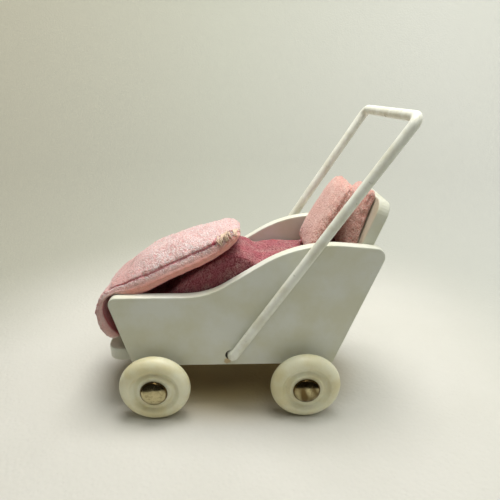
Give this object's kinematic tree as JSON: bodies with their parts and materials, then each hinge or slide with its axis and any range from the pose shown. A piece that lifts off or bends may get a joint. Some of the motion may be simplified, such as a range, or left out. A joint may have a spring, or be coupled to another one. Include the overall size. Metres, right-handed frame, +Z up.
{
  "type": "dolls pushchair",
  "caption": "Small wooden dolls' pushchair with swept side panels, a folding rod handle, plain wheels with domed caps, and padded pink bedding.",
  "frame": {"origin": "on the ground under the middle of the bounding box", "axes": "+Z up; the front with the footrest faces -X, the handle rises towards +X, and Y runs along the axles"},
  "size_m": [0.2476, 0.1408, 0.255],
  "materials": {
    "white_paint": "old white gloss paint on wood",
    "rod_paint": "white gloss paint",
    "bare_wood": "bare",
    "ivory_plastic": "moulded, semi-gloss",
    "chrome": "polished",
    "steel": "bright drawn",
    "pink_terry": "loop pile",
    "dusty_terry": "loop pile"
  },
  "bodies": {
    "body": {"side_panel_left": "white_paint", "side_panel_right": "white_paint", "floor_board": "white_paint", "back_board": "white_paint", "front_board": "white_paint", "front_axle_block": "bare_wood", "front_axle": "steel", "front_block_screw_left": "steel", "front_washer_left": "steel", "front_cap_left": "chrome", "front_block_screw_right": "steel", "front_washer_right": "steel", "front_cap_right": "chrome", "rear_axle_block": "bare_wood", "rear_axle": "steel", "rear_block_screw_left": "steel", "rear_washer_left": "steel", "rear_cap_left": "chrome", "rear_block_screw_right": "steel", "rear_washer_right": "steel", "rear_cap_right": "chrome", "mattress": "dusty_terry", "back_pad": "dusty_terry", "pillow": "pink_terry", "quilt": "pink_terry"},
    "handle": {"handle": "rod_paint"},
    "front_wheel_left": {"front_wheel_left": "ivory_plastic"},
    "front_wheel_right": {"front_wheel_right": "ivory_plastic"},
    "rear_wheel_left": {"rear_wheel_left": "ivory_plastic"},
    "rear_wheel_right": {"rear_wheel_right": "ivory_plastic"}
  },
  "joints": [
    {"name": "front_wheel_left_spin", "type": "hinge", "parent": "body", "child": "front_wheel_left", "pos_m": [-0.0741, -0.0588, 0.03], "axis": [0, 1, 0], "continuous": true},
    {"name": "front_wheel_right_spin", "type": "hinge", "parent": "body", "child": "front_wheel_right", "pos_m": [-0.0741, 0.0588, 0.03], "axis": [0, 1, 0], "continuous": true},
    {"name": "rear_wheel_left_spin", "type": "hinge", "parent": "body", "child": "rear_wheel_left", "pos_m": [0.0539, -0.0588, 0.03], "axis": [0, 1, 0], "continuous": true},
    {"name": "rear_wheel_right_spin", "type": "hinge", "parent": "body", "child": "rear_wheel_right", "pos_m": [0.0539, 0.0588, 0.03], "axis": [0, 1, 0], "continuous": true},
    {"name": "handle_fold", "type": "hinge", "parent": "body", "child": "handle", "pos_m": [-0.0087, 0, 0.0523], "axis": [0, -1, 0], "range_deg": [-42, 108]}
  ]
}
